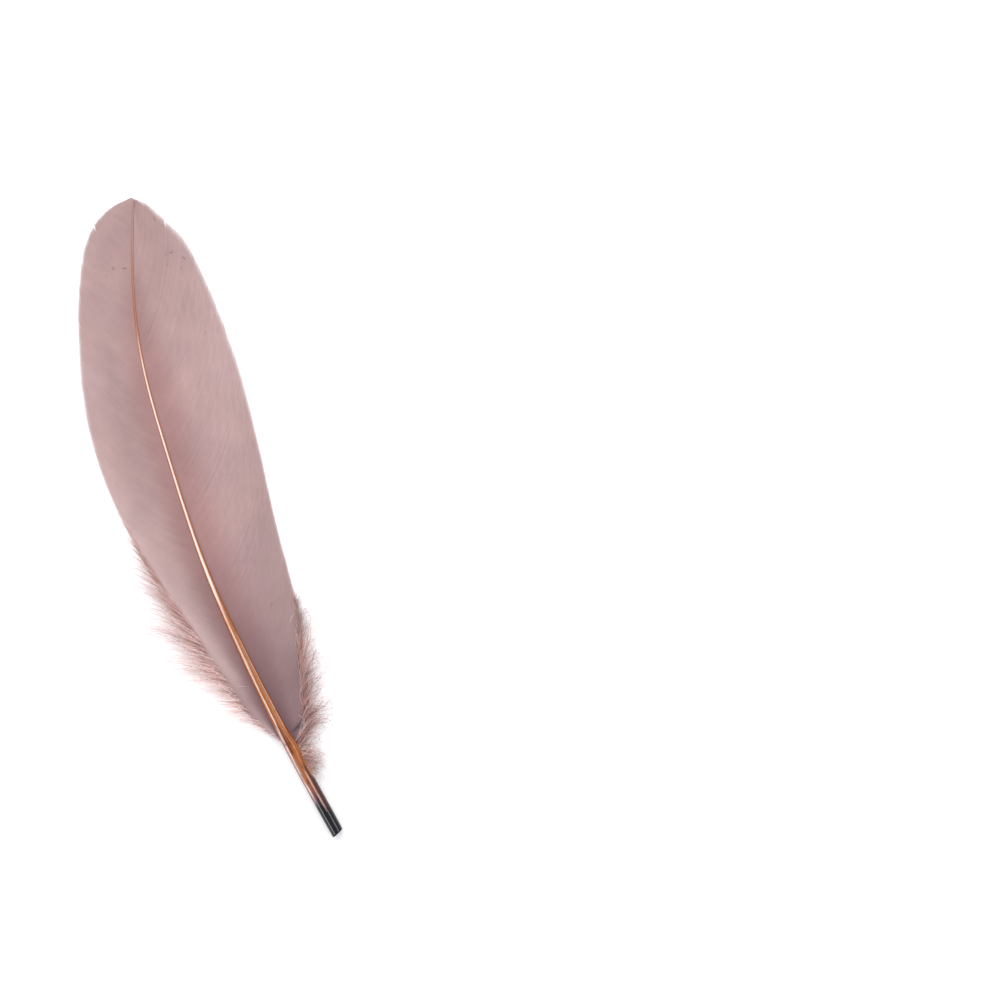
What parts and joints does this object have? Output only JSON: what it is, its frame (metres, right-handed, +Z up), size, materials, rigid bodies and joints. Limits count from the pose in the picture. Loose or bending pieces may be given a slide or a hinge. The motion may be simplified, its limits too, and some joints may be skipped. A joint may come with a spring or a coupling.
{
  "type": "goose quill feather",
  "caption": "Loose dyed goose feather with a hollow cut quill, two smooth vanes either side of a curved shaft, and a downy fringe at the base.",
  "frame": {"origin": "middle of the feather's box, at the level of the surface it lies on", "axes": "+Y along the feather from the cut end of the quill to the tip, +Z up out of its outer face, +X to the right seen from above"},
  "size_m": [0.0444, 0.1708, 0.0056],
  "materials": {
    "quill_horn": "satin",
    "feather_web": "matte",
    "feather_down": "matte"
  },
  "bodies": {
    "root": {"quill_shaft": "quill_horn", "narrow_vane": "feather_web", "wide_vane": "feather_web", "narrow_side_down": "feather_down", "wide_side_down": "feather_down"}
  },
  "joints": []
}
